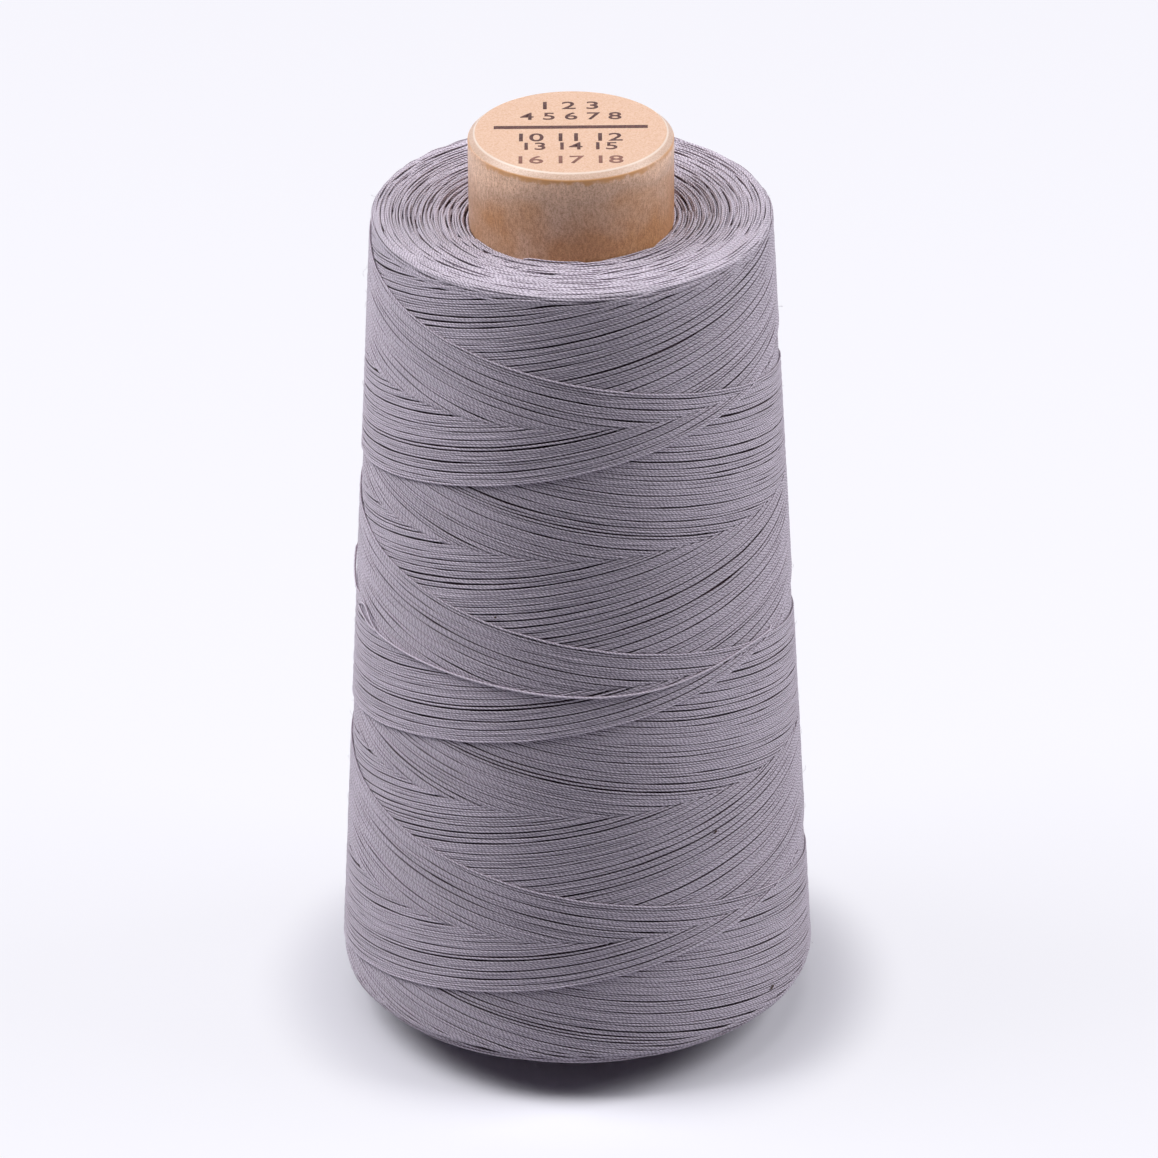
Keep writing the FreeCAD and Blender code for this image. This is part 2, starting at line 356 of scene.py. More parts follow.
def packagePoint(angle, along, lift):
    # along is measured up the side and round over the lip onto the upper face, or, below 0,
    # round the foot onto the lower face; lift is measured outwards from the finished surface
    lip, foot, high = package["lipRound"], package["footRound"], package["height"]
    slant = math.atan(taper)
    over = along - (high - lip)
    under = foot - along
    overTurn = np.clip(over / lip, 0, math.pi / 2)
    underTurn = np.clip(under / foot, 0, math.pi / 2)
    overIn = np.maximum(over - lip * math.pi / 2, 0)
    underIn = np.maximum(under - foot * math.pi / 2, 0)
    sideRadius = package["footRadius"] - taper * along + lift * math.cos(slant)
    sideZ = along + lift * math.sin(slant)
    lipCentre = package["footRadius"] - taper * (high - lip) - lip
    footCentre = package["footRadius"] - taper * foot - foot
    dip = package["faceDip"] / (lipCentre - package["coreRadius"])
    radius = np.where(over > 0, lipCentre + (lip + lift) * np.cos(overTurn) - overIn,
                      np.where(under > 0, footCentre + (foot + lift) * np.cos(underTurn) - underIn,
                               sideRadius))
    z = np.where(over > 0, high - lip + (lip + lift) * np.sin(overTurn) - dip * overIn,
                 np.where(under > 0, foot - (foot + lift) * np.sin(underTurn), sideZ))
    turn = np.where(over > 0, overTurn, np.where(under > 0, -underTurn, slant))
    across, up = np.sin(np.radians(angle)), -np.cos(np.radians(angle))
    point = np.stack([radius * across, radius * up, z + package["footZ"]], -1)
    outward = np.stack([np.cos(turn) * across, np.cos(turn) * up, np.sin(turn)], -1)
    return point, outward


# Threads: closed tubes, gathered by the hundred and built as one mesh

def newTubes(sides):
    return {"sides": sides, "count": 0, "triangles": 0,
            "points": [], "quads": [], "ends": [], "maps": [], "tones": []}


def addTube(tubes, points, outward, halfWide, halfThick, tone, start=0.0):
    # thick along outward and wide across it; start is where the thread's own map begins
    number, sides = len(points), tubes["sides"]
    ahead = np.gradient(points, axis=0)
    ahead /= np.linalg.norm(ahead, axis=1, keepdims=True)
    outward = outward - ahead * (outward * ahead).sum(1, keepdims=True)
    outward /= np.linalg.norm(outward, axis=1, keepdims=True)
    sideways = np.cross(outward, ahead)
    turn = np.arange(sides) * 2 * math.pi / sides
    halfWide = np.broadcast_to(halfWide, number)[:, None, None]
    halfThick = np.broadcast_to(halfThick, number)[:, None, None]
    rings = (points[:, None, :] + halfThick * np.cos(turn)[None, :, None] * outward[:, None, :]
             + halfWide * np.sin(turn)[None, :, None] * sideways[:, None, :])
    ring = np.arange(number - 1)[:, None] * sides + tubes["count"]
    here = np.arange(sides)[None, :]
    after = (here + 1) % sides
    quads = np.stack([ring + here, ring + sides + here, ring + sides + after, ring + after], -1)
    first = tubes["count"] + np.arange(sides)
    last = first[::-1] + (number - 1) * sides
    steps = np.linalg.norm(np.diff(points, axis=0), axis=1)
    travelled = start + np.concatenate([[0.0], np.cumsum(steps)])
    x0 = np.repeat(travelled[:-1, None], sides, 1)
    x1 = np.repeat(travelled[1:, None], sides, 1)
    y0 = np.repeat(here / sides, number - 1, 0)
    y1 = y0 + 1 / sides
    mapped = np.stack([np.stack([x0, y0], -1), np.stack([x1, y0], -1),
                       np.stack([x1, y1], -1), np.stack([x0, y1], -1)], -2)
    tubes["points"].append(rings.reshape(-1, 3))
    tubes["quads"].append(quads.reshape(-1, 4))
    tubes["ends"].append(np.stack([first, last]))
    tubes["maps"].append(mapped.reshape(-1, 2))
    tubes["tones"].append(np.full(number * sides, tone))
    tubes["count"] += number * sides
    tubes["triangles"] += (number - 1) * sides * 2 + 2 * (sides - 2)


def buildTubes(tubes, name):
    points = np.concatenate(tubes["points"]) * mm
    quads = np.concatenate(tubes["quads"])
    ends = np.concatenate(tubes["ends"])
    corners = np.concatenate([quads.ravel(), ends.ravel()]).astype(np.int32)
    mapped = np.concatenate(tubes["maps"] + [np.zeros((ends.size, 2))]).astype(np.float32)
    starts = np.concatenate([np.arange(len(quads)) * 4,
                             quads.size + np.arange(len(ends)) * tubes["sides"]]).astype(np.int32)
    mesh = bpy.data.meshes.new(name)
    mesh.vertices.add(len(points))
    mesh.vertices.foreach_set("co", points.astype(np.float32).ravel())
    mesh.loops.add(len(corners))
    mesh.loops.foreach_set("vertex_index", corners)
    mesh.polygons.add(len(starts))
    mesh.polygons.foreach_set("loop_start", starts)
    mesh.polygons.foreach_set("use_smooth", np.ones(len(starts), dtype=bool))
    mesh.uv_layers.new(name="alongThread")
    mesh.uv_layers["alongThread"].data.foreach_set("uv", mapped.ravel())
    tones = mesh.attributes.new("tone", "FLOAT", "POINT")
    tones.data.foreach_set("value", np.concatenate(tubes["tones"]).astype(np.float32))
    mesh.update(calc_edges=True)
    mesh.validate()
    obj = bpy.data.objects.new(name, mesh)
    bpy.context.scene.collection.objects.link(obj)
    return obj


# The outer layer: threads that rise and fall three times round the package

winding = {
    "threadWide": 0.30, "threadThick": 0.26, "sides": 6,    # pressed a little flat by its tension
    "highTurn": 111.1, "lowTurn": 1.36, "turnAngle": -119.35,    # where the newest turns back
    "fullSweep": 1080.0, "turnSweep": 16.0, "overrun": 10.0,    # degrees from turn to turn
    "pitch": 37.13, "pitchSpare": 0.15,    # from one band's newest thread to the next band's
    "groups": (1, 2, 2, 3, 3, 4, 5),    # threads that lie pressed together, drawn at random
    "pressed": 0.282, "pressedSpread": 0.06, "gapLeast": 0.08, "gapMost": 0.23,
    "wander": 0.035, "wanderSweep": 160.0, "quiver": 0.024, "quiverSweep": 32.0,
    "sway": 0.10, "rise": 0.03, "riseSweep": 60.0, "turnHump": 0.7, "humpSweep": 14.0,
    "crossingWide": 0.5, "endDive": 7.0, "endShown": 20.0,    # how a thread goes under the others
    "buriedBefore": 0.9, "buriedAfter": 0.45,
    "newestFor": 0.4, "newestRise": 0.03, "newestHighlight": 0.12, "toneSpread": 0.04,
    "nest": 1.36, "slip": 0.2,    # mm by which the plies' bulges shift from thread to thread
    "fineStep": 0.5, "crossingStep": 0.9, "turnStep": 1.6, "plainStep": 2.6,    # degrees
    "mostTriangles": 185000,    # in one piece
}


def threadAges():
    # distances from the newest thread, in pressed groups with a gap after each group
    spec = winding
    places = [0.0]
    while places[-1] < spec["pitch"]:
        for _ in range(random.choice(spec["groups"])):
            spread = random.uniform(1 - spec["pressedSpread"], 1 + spec["pressedSpread"])
            places.append(places[-1] + spec["pressed"] * spread)
        places[-1] += random.uniform(spec["gapLeast"], spec["gapMost"])
    places = np.array(places)
    return places[places < spec["pitch"] - spec["pitchSpare"]]


def easeTurn(sweep):
    # the thread's climb, with a smooth start where it turns back
    half = winding["turnSweep"]
    size = np.abs(sweep)
    return np.where(size < half, size ** 2 / (2 * half), size - half / 2)


def slowNoise(angle, count, longest):
    # a smooth random line along a thread
    total = np.zeros_like(angle)
    for _ in range(count):
        length = longest * random.uniform(0.25, 1.0)
        total += np.sin(angle * 2 * math.pi / length + random.uniform(0, 2 * math.pi))
    return total / math.sqrt(count)


def layFamily(rising):
    spec = winding
    full, half, pitch = spec["fullSweep"], spec["turnSweep"], spec["pitch"]
    thick, humpSweep = spec["threadThick"], spec["humpSweep"]
    slope = (spec["highTurn"] - spec["lowTurn"]) / (full - half)
    sweep = np.arange(0, full + spec["overrun"], spec["fineStep"])
    climbed = np.where(sweep < full / 2, easeTurn(sweep), full - half - easeTurn(full - sweep))
    swayTurns = random.uniform(0, 2 * math.pi, 3)
    drift = 0.0
    runs = []
    for age in threadAges():
        angle = spec["turnAngle"] - age / slope + sweep
        startHump, endHump = random.uniform(-spec["turnHump"], spec["turnHump"], 2)
        shift = (spec["wander"] * slowNoise(sweep, 3, spec["wanderSweep"])
                 + spec["quiver"] * slowNoise(sweep, 4, spec["quiverSweep"]))
        # whole groups sway together, and a little differently at each age
        shift += spec["sway"] * (np.sin(np.radians(angle * 1.3) + swayTurns[0] + age * 0.5)
                                 + np.sin(np.radians(angle * 2.9) + swayTurns[1] - age * 0.9)) / 2
        # and each turns back a little higher or lower than its neighbours
        shift += startHump * np.exp(-(sweep / humpSweep) ** 2)
        shift += endHump * np.exp(-((full - sweep) / humpSweep) ** 2)
        # how far off the newest thread of the other family lies, which buries this one
        if rising:
            along = spec["lowTurn"] + slope * climbed
            newest = spec["highTurn"] - slope * (angle - spec["turnAngle"] - half / 2)
            other = np.mod(newest - along, pitch)
        else:
            along = spec["highTurn"] - slope * climbed
            newest = spec["lowTurn"] + slope * (angle - spec["turnAngle"] - half / 2)
            other = np.mod(along - newest, pitch)
        covered = np.clip((age - other) / spec["crossingWide"] + 0.5, 0, 1)
        covered = covered * covered * (3 - 2 * covered)
        covered = np.maximum(covered, np.clip((sweep - full + 1) / spec["endDive"], 0, 1))
        level = thick * (1 - age / pitch - other / pitch) - thick / 2
        lift = level - thick * covered + spec["rise"] * slowNoise(sweep, 2, spec["riseSweep"])
        # the newest thread rides on its neighbours, still unpressed
        newness = max(0.0, 1 - age / spec["newestFor"])
        lift += spec["newestRise"] * newness
        along = along + shift
        # the newest thread is painted brighter, a painted highlight where it stands proud of the band
        tone = 1 + random.normal(0, spec["toneSpread"]) + spec["newestHighlight"] * newness
        # only what shows is built, with short steps where it dives under and where it turns back
        shown = ((other > age - spec["buriedBefore"]) | (other < spec["buriedAfter"])
                 | (sweep > full - spec["endShown"]))
        diving = (covered > 0.01) & (covered < 0.99)
        turning = (sweep < half) | (sweep > full - half)
        weight = np.where(diving, 1 / spec["crossingStep"], 1 / spec["plainStep"])
        weight = np.where(turning, np.maximum(weight, 1 / spec["turnStep"]), weight) * spec["fineStep"]
        edges = np.flatnonzero(np.diff(np.concatenate([[0], shown.astype(int), [0]])))
        for begin, end in zip(edges[::2], edges[1::2]):
            if end - begin < 4:
                continue
            amount = np.cumsum(weight[begin:end])
            number = max(3, int(amount[-1] - amount[0]) + 2)
            picks = np.searchsorted(amount, np.linspace(amount[0], amount[-1], number))
            picks = begin + np.unique(np.clip(picks, 0, end - begin - 1))
            points, outward = packagePoint(angle[picks], along[picks], lift[picks])
            # plies of neighbouring threads nest, so their bulges line up into slanting rows
            drift += random.normal(0, spec["slip"])
            wrapped = (angle[picks[0]] + 180) % 360 - 180
            start = math.radians(wrapped) * np.linalg.norm(points[0, :2]) + drift
            start += spec["nest"] * (age if rising else -age)
            runs.append((age, points, outward, tone, start))
    return runs


def buildFamily(name, runs, material):
    spec = winding
    runs.sort(key=lambda run: run[0])
    gathered = [newTubes(spec["sides"])]
    for age, points, outward, tone, start in runs:
        if gathered[-1]["triangles"] > spec["mostTriangles"]:
            gathered.append(newTubes(spec["sides"]))
        addTube(gathered[-1], points, outward, spec["threadWide"] / 2, spec["threadThick"] / 2,
                tone, start)
    for index, tubes in enumerate(gathered):
        piece = name + str(index + 1)
        keep(buildTubes(tubes, piece), piece, material, "outer_turns")
    total = sum(tubes["triangles"] for tubes in gathered)
    print(name, "pieces", len(gathered), "triangles", total)


# The two end faces: each older layer shows only where its threads turn back

endArcs = {
    "upperFrom": 111.5, "upperShort": 0.2, "upperArcs": 21, "upperStep": 3.0,
    "lowerFrom": 0.9, "lowerShort": 0.3, "lowerArcs": 16, "lowerStep": 4.5,
    "spacing": 0.30, "arcSweep": 17.0, "placeSpread": 0.35,    # rings of arcs, laid like shingles
    "shingle": 0.13, "sink": 0.46, "seat": 0.06, "highest": 0.12,
    "radialJitter": 0.055, "heightJitter": 0.065, "looser": 1.7,    # looser towards the core
    # the end faces' threads are painted a little darker than the same cotton on the side, as painted
    # shade for their deeper gaps
    "tone": 0.95, "toneSpread": 0.03,
}


def buildEndFace(name, first, last, sign, material, arcsPerRing, step):
    spec = endArcs
    tubes = newTubes(winding["sides"])
    rings = int(abs(last - first) / spec["spacing"])
    for ring in range(rings + 1):
        inner = ring / rings
        place = first + (last - first) * inner
        loose = 1 + spec["looser"] * inner ** 2
        turned = random.uniform(0, 360)
        for number in range(arcsPerRing):
            stray = random.uniform(-spec["placeSpread"], spec["placeSpread"])
            middle = turned + (number + stray) * 360 / arcsPerRing
            reach = spec["arcSweep"] * random.uniform(0.8, 1.25)
            offsets = np.linspace(-reach, reach, max(5, int(2 * reach / step) + 1))
            share = offsets / reach
            along = (place + sign * random.normal(0, spec["radialJitter"]) * loose
                     + sign * spec["shingle"] * share)
            lift = (-winding["threadThick"] / 2 + random.normal(0, spec["heightJitter"]) * loose
                    - spec["sink"] * share ** 4 - spec["seat"])
            points, outward = packagePoint(middle + offsets, along, np.minimum(lift, spec["highest"]))
            addTube(tubes, points, outward, winding["threadWide"] / 2, winding["threadThick"] / 2,
                    spec["tone"] + random.normal(0, spec["toneSpread"]), random.uniform(0, 2))
    keep(buildTubes(tubes, name), name, material, "yarn_body")
    print(name, "rings", rings + 1, "triangles", tubes["triangles"])


# The thread under the outer layer, built in place of the imported body

packageBody = {"under": 0.72, "faceUnder": 0.42, "edges": 128, "onCore": 0.05}


def buildPackageBody(material):
    spec, size = packageBody, package
    low = (size["footZ"] + spec["faceUnder"]) * mm
    high = (size["footZ"] + size["height"] - spec["faceUnder"]) * mm
    inner = size["coreRadius"] + spec["onCore"]
    # each end: which way it faces, its height, radius, rounding and dip
    ends = ((1, high, size["lipRadius"] - spec["under"], size["lipRound"], size["faceDip"]),
            (-1, low, size["footRadius"] - spec["under"], size["footRound"], 0.0))
    deselectAll()
    bpy.ops.mesh.primitive_cone_add(
        vertices=spec["edges"], radius1=ends[1][2] * mm, radius2=ends[0][2] * mm, depth=high - low,
        location=(0, 0, (low + high) / 2), end_fill_type="NGON")
    obj = bpy.context.object
    bpy.ops.object.transform_apply(location=True, rotation=True, scale=True)
    for facing, z, radius, rounding, dip in ends:
        editFaces(obj, lambda polygon: polygon.normal.z * facing > 0.9)
        # a stepped edge that the rounding follows, then in to the core
        bpy.ops.mesh.inset(thickness=rounding * 0.5 * mm, depth=0)
        bpy.ops.mesh.inset(thickness=(radius - rounding * 0.5 - inner) * mm, depth=0)
        if dip:
            bpy.ops.transform.translate(value=(0, 0, -dip * mm))
        bpy.ops.object.mode_set(mode="OBJECT")
        for vertex in obj.data.vertices:
            if abs(vertex.co.z - z) < 1e-6 and abs(vertex.co.xy.length / mm - radius) < 0.01:
                vertex.co.z -= facing * rounding * 0.5 * mm
    # the two round faces at the core become its seat
    editFaces(obj, lambda polygon: len(polygon.vertices) > 8)
    bpy.ops.mesh.bridge_edge_loops()
    faceOutwards()
    bpy.ops.object.shade_smooth_by_angle(angle=math.radians(35))
    keep(obj, "packedThread", material, "yarn_body")
    print("packed thread built")


# The loose end, and its small loop tucked in at the left

looseEnd = {
    # its tone paints the loose end brighter, a painted highlight on the raised thread
    "across": 0.34, "thick": 0.33, "sides": 10, "tone": 1.10, "step": 0.18, "tuckDepth": 0.6,
    # (angle, height above the package's foot, height of the thread's middle above the layer)
    "stray": [(-99.0, 61.9, 0.31), (-94.5, 60.9, 0.31), (-90.0, 60.0, 0.31), (-85.5, 59.2, 0.31),
              (-81.0, 58.5, 0.31), (-77.2, 57.8, 0.31)],
    "loop": [(-61.4, 56.55, 0.20), (-64.6, 56.58, 0.34), (-67.8, 56.72, 0.44), (-70.9, 56.92, 0.44),
             (-74.2, 57.05, 0.40), (-76.1, 57.25, 0.36), (-75.5, 57.75, 0.36), (-73.6, 58.3, 0.40),
             (-71.2, 58.7, 0.46), (-68.8, 58.65, 0.54), (-66.6, 58.1, 0.58), (-64.8, 57.5, 0.54),
             (-63.0, 56.98, 0.44)],
    "front": [(-60.8, 56.72, 0.36), (-55.8, 56.68, 0.31), (-45.0, 56.62, 0.31), (-33.4, 56.45, 0.31),
              (-19.5, 56.1, 0.31), (-5.4, 55.56, 0.31), (8.8, 55.25, 0.31), (22.1, 55.4, 0.31),
              (36.1, 56.2, 0.31), (47.8, 56.9, 0.31), (58.0, 57.0, 0.31), (64.0, 56.9, 0.31)],
}


def smoothRoute(route, step):
    # cubic through the given points, by length on a package 29 mm in radius
    route = np.array(route)
    before = np.vstack([2 * route[0] - route[1], route, 2 * route[-1] - route[-2]])
    pieces = []
    for a, b, c, d in zip(before, before[1:], before[2:], before[3:]):
        t = np.linspace(0, 1, 24, endpoint=False)[:, None]
        pieces.append(0.5 * (2 * b + (c - a) * t + (2 * a - 5 * b + 4 * c - d) * t ** 2
                             + (3 * b - a - 3 * c + d) * t ** 3))
    dense = np.vstack(pieces + [route[-1:]])
    inMm = dense * np.array([math.radians(29.0), 1.0, 1.0])
    lengths = np.concatenate([[0], np.cumsum(np.linalg.norm(np.diff(inMm, axis=0), axis=1))])
    wanted = np.linspace(0, lengths[-1], int(lengths[-1] / step) + 1)
    return np.stack([np.interp(wanted, lengths, dense[:, k]) for k in (0, 1, 2)], -1)


def buildLooseEnd(material):
    spec = looseEnd
    tubes = newTubes(spec["sides"])
    # the loop with the stretch across the front, and a stray turn that passes under the loop,
    # each with the share of it over which its ends are tucked in
    for stretch, tuck in ((spec["loop"] + spec["front"], 0.02), (spec["stray"], 0.2)):
        route = smoothRoute(stretch, spec["step"])
        share = np.linspace(0, 1, len(route))
        tucked = np.clip(np.minimum(share, 1 - share) / tuck, 0, 1)
        lift = route[:, 2] - (1 - tucked) * spec["tuckDepth"]
        points, outward = packagePoint(route[:, 0], route[:, 1], lift)
        addTube(tubes, points, outward, spec["across"] / 2, spec["thick"] / 2, spec["tone"])
        length = np.linalg.norm(np.diff(points, axis=0), axis=1).sum()
        print("loose end, stretch of length", round(float(length), 1))
    keep(buildTubes(tubes, "looseThreadEnd"), "looseThreadEnd", material, "thread_end")


# Loose fibres that stand off the threads

fuzz = {
    "hairs": 520, "shortest": 0.5, "longest": 1.6, "halfWide": 0.016, "sides": 3, "tone": 1.2,
    "rootDepth": 0.1, "standLeast": 0.12, "standMost": 0.55, "curl": 0.35,
    "onFaceShare": 0.12, "face": (112.5, 121.0), "side": (-1.0, 112.0),
}


def buildFuzz(material):
    spec = fuzz
    tubes = newTubes(spec["sides"])
    for _ in range(spec["hairs"]):
        angle = random.uniform(0, 360)
        onFace = random.uniform() < spec["onFaceShare"]
        along = random.uniform(*(spec["face"] if onFace else spec["side"]))
        length = random.uniform(spec["shortest"], spec["longest"])
        root, outward = packagePoint(angle, along, -spec["rootDepth"])
        lean = random.normal(0, 1, 3)
        lean -= outward * (lean @ outward)
        lean /= np.linalg.norm(lean)
        side = np.cross(outward, lean) * random.normal(0, spec["curl"])
        t = np.linspace(0, 1, 6)[:, None]
        stand = random.uniform(spec["standLeast"], spec["standMost"])
        stood = stand * np.sin(t * math.pi * random.uniform(0.5, 1.0))
        points = root + length * (t * lean + stood * outward + side * t * t)
        normals = np.broadcast_to(outward, points.shape)
        addTube(tubes, points, normals, spec["halfWide"], spec["halfWide"], spec["tone"])
    keep(buildTubes(tubes, "looseFibres"), "looseFibres", material, "outer_turns")
    print("loose fibres", spec["hairs"])


# A few dark bits of cotton seed: (angle, height, length) of each

seedBits = {
    "places": [(55.0, 4.2, 0.9), (37.0, 32.0, 0.6), (-21.0, 66.0, 0.4), (141.0, 80.0, 0.6)],
    "halfWide": 0.14, "lift": 0.16, "bend": 0.12, "sections": 7, "sides": 6,
}


def buildSeedBits(material):
    spec = seedBits
    tubes = newTubes(spec["sides"])
    for angle, along, length in spec["places"]:
        share = np.linspace(-1, 1, spec["sections"])
        offsets = np.degrees(share * length / 2 / 30)
        heights = along + spec["bend"] * np.sin(offsets * 2.3)
        points, outward = packagePoint(angle + offsets, heights, spec["lift"])
        halfWide = spec["halfWide"] * np.sqrt(np.clip(1.02 - share ** 2, 0, 1))
        addTube(tubes, points, outward, halfWide, halfWide, 1.0)
    keep(buildTubes(tubes, "seedBits"), "seedBits", material, "outer_turns")
    print("seed bits", len(spec["places"]))


# The wooden core

woodenCore = {
    "above": 11.0, "footEdge": 0.6, "edgeWidth": 0.9, "edgeHeight": 0.8,
    "arris": 0.16, "boreRadius": 4.0, "boreDepth": 80.0, "boreLeadIn": 1.0, "edges": 160,
}
coreTop = package["footZ"] + package["height"] + woodenCore["above"]


def buildCore(material):
    spec, radius = woodenCore, package["coreRadius"]
    deselectAll()
    shoulder = coreTop - spec["edgeHeight"]
    bpy.ops.mesh.primitive_cylinder_add(
        vertices=spec["edges"], radius=radius * mm, depth=shoulder * mm,
        location=(0, 0, shoulder / 2 * mm), end_fill_type="NGON")
    obj = bpy.context.object
    bpy.ops.object.transform_apply(location=True, rotation=True, scale=True)
    # sloping upper edge, its two arrises softened
    editFaces(obj, lambda polygon: polygon.normal.z > 0.9)
    bpy.ops.mesh.inset(thickness=spec["edgeWidth"] * mm, depth=0)
    bpy.ops.transform.translate(value=(0, 0, spec["edgeHeight"] * mm))
    bpy.ops.mesh.select_mode(type="EDGE")
    bpy.ops.mesh.select_all(action="DESELECT")
    bpy.ops.object.mode_set(mode="OBJECT")
    for edge in obj.data.edges:
        heights = [obj.data.vertices[index].co.z / mm for index in edge.vertices]
        edge.select = min(heights) > shoulder - 0.01 and abs(heights[0] - heights[1]) < 0.01
    bpy.ops.object.mode_set(mode="EDIT")
    bpy.ops.mesh.bevel(offset=spec["arris"] * mm, segments=3, profile=0.5, affect="EDGES")
    bpy.ops.object.mode_set(mode="OBJECT")
    # foot edge, and the bore for a stand's pin
    editFaces(obj, lambda polygon: polygon.normal.z < -0.9)
    bpy.ops.mesh.bevel(offset=spec["footEdge"] * mm, segments=3, profile=0.5, affect="EDGES")
    editFaces(obj, lambda polygon: polygon.normal.z < -0.9 and len(polygon.vertices) > 8)
    ringWidth = radius - spec["footEdge"] - spec["boreRadius"] - spec["boreLeadIn"]
    bpy.ops.mesh.inset(thickness=ringWidth * mm, depth=0)
    bpy.ops.mesh.inset(thickness=spec["boreLeadIn"] * mm, depth=0)
    bpy.ops.transform.translate(value=(0, 0, spec["boreLeadIn"] * mm))
    bpy.ops.mesh.extrude_region_move(
        TRANSFORM_OT_translate={"value": (0, 0, (spec["boreDepth"] - spec["boreLeadIn"]) * mm)})
    faceOutwards()
    bpy.ops.object.shade_smooth_by_angle(angle=math.radians(40))
    keep(obj, "turnedCore", material, "wooden_core")
    print("core built")


# Plain numbers stamped on the core's end: (words, middle Y, height, width) of each row, and a rule

stamp = {
    "rows": [("1 2 3", 8.0, 2.3, 7.2), ("4 5 6 7 8", 4.7, 2.2, 13.2), ("10 11 12", -1.8, 2.4, 13.4),
             ("13 14 15", -4.5, 2.2, 12.0), ("16 17 18", -8.6, 2.3, 13.5)],
    "rule": (1.3, 0.9, 20.0), "thick": 0.03, "bite": 0.01, "bolder": 0.012,
}


def buildStamp(material):
    spec = stamp
    level = (coreTop - spec["bite"]) * mm
    parts = []
    for words, y, tall, wide in spec["rows"]:
        deselectAll()
        bpy.ops.object.text_add(location=(0, 0, 0))
        obj = bpy.context.object
        obj.data.body = words
        obj.data.align_x = "CENTER"
        obj.data.offset = spec["bolder"]
        bpy.ops.object.convert(target="MESH")
        obj = bpy.context.object
        xs = [vertex.co.x for vertex in obj.data.vertices]
        ys = [vertex.co.y for vertex in obj.data.vertices]
        stretch = wide / (max(xs) - min(xs))
        grow = tall / (max(ys) - min(ys))
        middle = (max(xs) + min(xs)) / 2
        for vertex in obj.data.vertices:
            vertex.co = Vector(((vertex.co.x - middle) * stretch * mm,
                                (y - tall / 2 + (vertex.co.y - min(ys)) * grow) * mm, level))
        parts.append(obj)
    y, tall, wide = spec["rule"]
    deselectAll()
    bpy.ops.mesh.primitive_plane_add(size=1, location=(0, y * mm, level))
    obj = bpy.context.object
    obj.scale = (wide * mm, tall * mm, 1)
    bpy.ops.object.transform_apply(location=True, rotation=True, scale=True)
    parts.append(obj)
    deselectAll()
    for part in parts:
        part.select_set(True)
    bpy.context.view_layer.objects.active = parts[0]
    bpy.ops.object.join()
    obj = bpy.context.object
    bpy.ops.object.mode_set(mode="EDIT")
    bpy.ops.mesh.select_all(action="SELECT")
    bpy.ops.mesh.remove_doubles(threshold=1e-6)
    bpy.ops.mesh.extrude_region_move(TRANSFORM_OT_translate={"value": (0, 0, spec["thick"] * mm)})
    faceOutwards()
    keep(obj, "stampedNumbers", material, "wooden_core")
    print("numbers stamped")


# Building the spool

cotton = spunCotton("spunCotton", threadFinish["grooveShade"], threadFinish["twistDepth"])
# the loose end's cotton has shallower bulges and less painted shade in its grooves
looseCotton = spunCotton("looseCotton", threadFinish["looseGrooveShade"], threadFinish["looseTwistDepth"])
packedShade = packedCottonShade()
husk = seedHusk()
wood = turnedBirch(package["footZ"] + package["height"], coreTop, woodenCore["edgeHeight"])
brownInk = stampingInk()
print("materials made")

lipEnd = package["height"] + package["lipRound"] * (math.pi / 2 - 1)
upperWidth = package["lipRadius"] - package["lipRound"] - package["coreRadius"]
footEnd = package["footRound"] * (1 - math.pi / 2)
lowerWidth = package["footRadius"] - package["footRound"] - package["coreRadius"]

buildCore(wood)
buildStamp(brownInk)
buildPackageBody(packedShade)
buildFamily("risingThreads", layFamily(True), cotton)
buildFamily("fallingThreads", layFamily(False), cotton)
buildEndFace("upperTurns", endArcs["upperFrom"], lipEnd + upperWidth - endArcs["upperShort"], -1,
             cotton, endArcs["upperArcs"], endArcs["upperStep"])
buildEndFace("lowerTurns", endArcs["lowerFrom"], footEnd - lowerWidth + endArcs["lowerShort"], 1,
             cotton, endArcs["lowerArcs"], endArcs["lowerStep"])
buildLooseEnd(looseCotton)
buildFuzz(cotton)
buildSeedBits(husk)


# Floor, light and camera

studio = {
    "floorAcross": 6.0, "floorSeen": "#eeedf6", "floorForLight": "#b9b8bf",
    "paper": "#f9f8ff", "shadowTo": 33.0, "paperFrom": 46.0, "paperShare": 0.82, "room": 0.96,
    # each lamp's name, place, width and height in metres, and watts
    "lamps": [("leftSoftbox", (-0.57, 0.0, 0.79), 0.5, 0.6, 7.4),
              ("rightSoftbox", (0.69, 0.0, 0.64), 0.5, 0.5, 5.7),
              ("topSoftbox", (0.0, 0.0, 1.0), 0.6, 0.6, 2.4)],
    "aim": (0, 0, 0.06),
}


def seenRays(tree):
    # 1 where the camera or a reflection looks, 0 for light on its way to the object
    rays = addNode(tree, "LightPath").outputs
    mirrored = addNode(tree, "Math", {"operation": "MAXIMUM"},
                       {0: rays["Is Glossy Ray"], 1: rays["Is Transmission Ray"]})
    return addNode(tree, "Math", {"operation": "MAXIMUM"},
                   {0: rays["Is Camera Ray"], 1: mirrored.outputs[0]}).outputs[0]


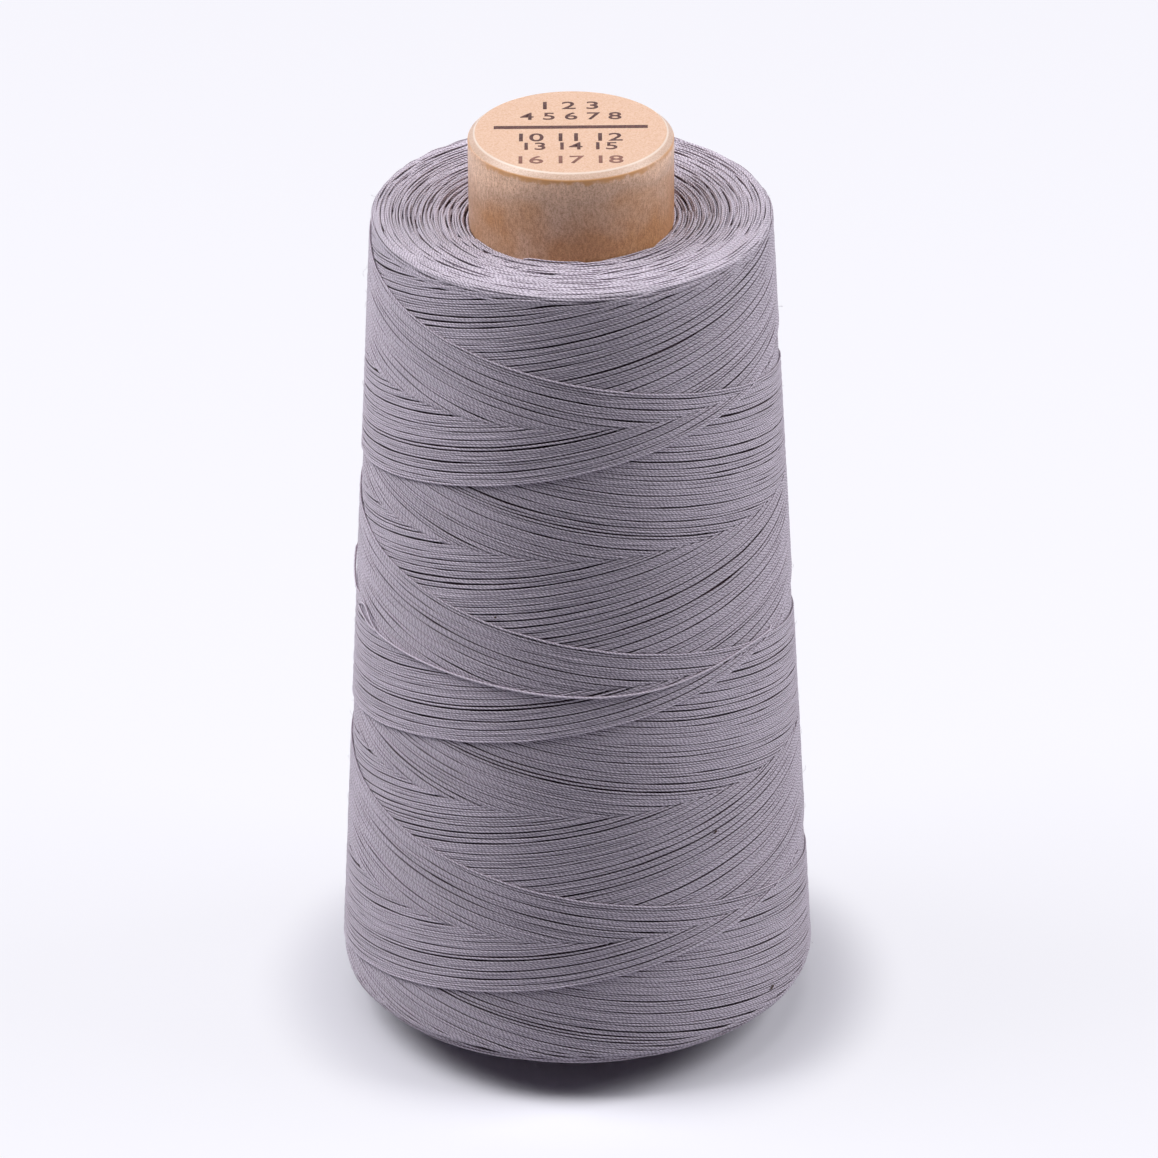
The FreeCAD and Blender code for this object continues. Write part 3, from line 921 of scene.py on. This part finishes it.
def buildFloor():
    # the paper keeps the shadow under and beside the foot and fades to plain white further out
    spec = studio
    deselectAll()
    bpy.ops.mesh.primitive_plane_add(size=spec["floorAcross"], location=(0, 0, 0))
    obj = bpy.context.object
    obj.name = "paleFloor"
    material, tree, shader = newMaterial("palePaper", {"Roughness": 1.0, "Specular IOR Level": 0.0})
    seen = seenRays(tree)
    colour = addNode(tree, "Mix", {"data_type": "RGBA", 6: spec["floorForLight"],
                                   7: spec["floorSeen"]}, {0: seen})
    tree.links.new(colour.outputs[2], shader.inputs["Base Color"])
    spot = addNode(tree, "TexCoord").outputs["Object"]
    away = addNode(tree, "VectorMath", {"operation": "LENGTH"}, {0: spot})
    fade = addNode(tree, "MapRange", {
        "interpolation_type": "SMOOTHSTEP", "From Min": spec["shadowTo"] * mm,
        "From Max": spec["paperFrom"] * mm, "To Max": spec["paperShare"]},
        {"Value": away.outputs["Value"]})
    share = addNode(tree, "Math", {"operation": "MULTIPLY"}, {0: fade.outputs[0], 1: seen})
    white = addNode(tree, "Emission", {"Color": spec["paper"]})
    both = addNode(tree, "MixShader", None,
                   {0: share.outputs[0], 1: shader.outputs[0], 2: white.outputs[0]})
    tree.links.new(both.outputs[0], tree.nodes["Material Output"].inputs["Surface"])
    obj.data.materials.append(material)
    print("floor laid")


def buildLight():
    spec = studio
    for name, place, wide, tall, watts in spec["lamps"]:
        lamp = bpy.data.lights.new(name, "AREA")
        lamp.shape = "RECTANGLE"
        lamp.size, lamp.size_y = wide, tall
        lamp.energy = watts
        obj = bpy.data.objects.new(name, lamp)
        bpy.context.scene.collection.objects.link(obj)
        obj.location = place
        towards = Vector(spec["aim"]) - Vector(place)
        obj.rotation_euler = towards.to_track_quat("-Z", "Y").to_euler()
        obj.visible_camera = False
    # the room is white to look at and gives no light of its own
    world = bpy.data.worlds.new("paleRoom")
    bpy.context.scene.world = world
    world.use_nodes = True
    tree = world.node_tree
    strength = addNode(tree, "MapRange", {"To Max": spec["room"]}, {"Value": seenRays(tree)})
    ground = tree.nodes["Background"]
    ground.inputs["Color"].default_value = toLinear(spec["paper"])
    tree.links.new(strength.outputs[0], ground.inputs["Strength"])
    print("lamps and room set")


# The camera, as fitted to the outline in the picture; its distance and focal length are one fit
camera = {
    "elevation": 28.31, "distance": 1008.0, "aimHeight": 62.6, "roll": -0.46, "pan": 0.035,
    "focalPixels": 7538.0, "imageWidth": 1158, "sensor": 36.0, "clipEnd": 20.0,
}


def buildCamera():
    spec = camera
    lift = math.radians(spec["elevation"])
    forward = Vector((0, math.cos(lift), -math.sin(lift)))
    right = Vector((1, 0, 0))
    up = right.cross(forward)
    pan, roll = math.radians(spec["pan"]), math.radians(spec["roll"])
    ahead = forward * math.cos(pan) + right * math.sin(pan)
    right = right * math.cos(pan) - forward * math.sin(pan)
    across = right * math.cos(roll) + up * math.sin(roll)
    upright = -right * math.sin(roll) + up * math.cos(roll)
    data = bpy.data.cameras.new("photoCamera")
    data.sensor_width = spec["sensor"]
    data.lens = spec["focalPixels"] / spec["imageWidth"] * spec["sensor"]
    data.clip_end = spec["clipEnd"]
    obj = bpy.data.objects.new("photoCamera", data)
    bpy.context.scene.collection.objects.link(obj)
    turn = Matrix((across, upright, -ahead)).transposed().to_4x4()
    place = Vector((0, -spec["distance"] * math.cos(lift),
                    spec["aimHeight"] + spec["distance"] * math.sin(lift))) * mm
    obj.matrix_world = Matrix.Translation(place) @ turn
    bpy.context.scene.camera = obj
    print("camera set")


buildFloor()
buildLight()
buildCamera()
bpy.context.scene.view_settings.view_transform = "Standard"
